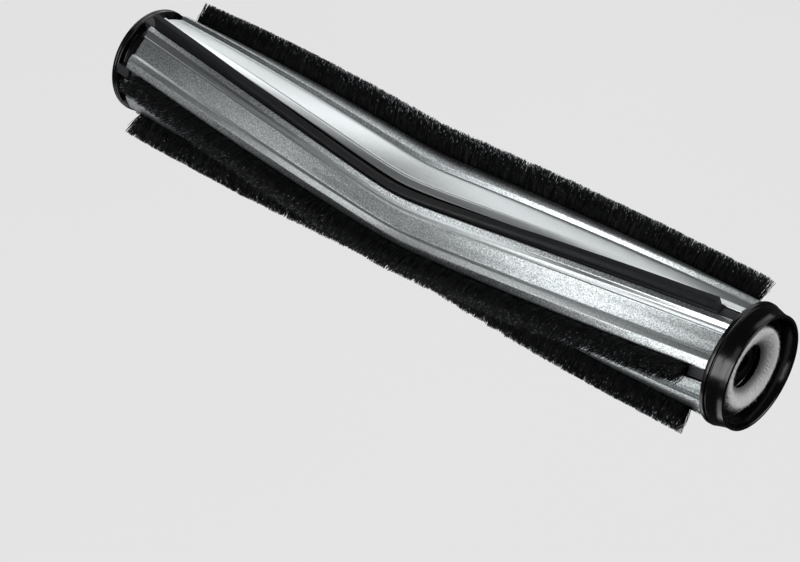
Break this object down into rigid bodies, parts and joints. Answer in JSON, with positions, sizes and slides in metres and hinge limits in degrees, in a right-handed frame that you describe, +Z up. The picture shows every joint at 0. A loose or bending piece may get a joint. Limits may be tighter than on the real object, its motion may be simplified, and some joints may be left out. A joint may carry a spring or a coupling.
{
  "type": "floor scrubber brush roller",
  "caption": "Brush roller of a wet and dry floor scrubber: twisted aluminium profile with bristle strips and rubber blades in channels, end caps, felt-sealed ball bearing and a drive socket",
  "frame": {"origin": "on the roller's axis at mid-length, which is the centre of its bounding box", "axes": "+X runs along the roller's axis from the driven end to the end with the felt-sealed bearing, +Z is up, and the apex of rubber blade 1 points forward and up, 41 degrees from -Y towards +Z"},
  "size_m": [0.278, 0.058, 0.0568],
  "materials": {
    "aluminium_profile": "bright satin with fine blasted grain on the flat panels",
    "black_caps": "glossy moulded black",
    "dark_plastic": "matte dark grey",
    "bristle": "dense stiff nylon bristle pile",
    "rubber": "smooth dark rubber",
    "felt": "fuzzy white felt",
    "bearing_steel": "ground steel",
    "cage_nylon": "matte grey nylon"
  },
  "bodies": {
    "holder": {"bearing_inner_ring": "bearing_steel", "bearing_bush": "bearing_steel"},
    "roller": {"bearing_outer_ring": "bearing_steel", "bearing_shield_left": "bearing_steel", "bearing_shield_right": "bearing_steel", "bristle_carrier_1": "dark_plastic", "bristle_carrier_2": "dark_plastic", "bristle_carrier_3": "dark_plastic", "bristle_carrier_4": "dark_plastic", "bristle_pile_1": "bristle", "bristle_pile_2": "bristle", "bristle_pile_3": "bristle", "bristle_pile_4": "bristle", "core_profile": "aluminium_profile", "drive_socket": "dark_plastic", "felt_ring": "felt", "left_end_cap": "black_caps", "retaining_ring": "bearing_steel", "right_end_cap": "black_caps", "rubber_blade_1": "rubber", "rubber_blade_2": "rubber"},
    "ball_set": {"bearing_cage": "cage_nylon", "bearing_ball_1": "bearing_steel", "bearing_ball_2": "bearing_steel", "bearing_ball_3": "bearing_steel", "bearing_ball_4": "bearing_steel", "bearing_ball_5": "bearing_steel", "bearing_ball_6": "bearing_steel", "bearing_ball_7": "bearing_steel"}
  },
  "joints": [
    {"name": "roller_spin", "type": "hinge", "parent": "holder", "child": "roller", "pos_m": [0.127, 0, 0], "axis": [1, 0, 0], "continuous": true},
    {"name": "ball_set_spin", "type": "hinge", "parent": "holder", "child": "ball_set", "pos_m": [0.127, 0, 0], "axis": [1, 0, 0], "continuous": true}
  ],
  "couplings": [
    {"joint": "ball_set_spin", "follows": "roller_spin", "ratio": 0.6281}
  ]
}
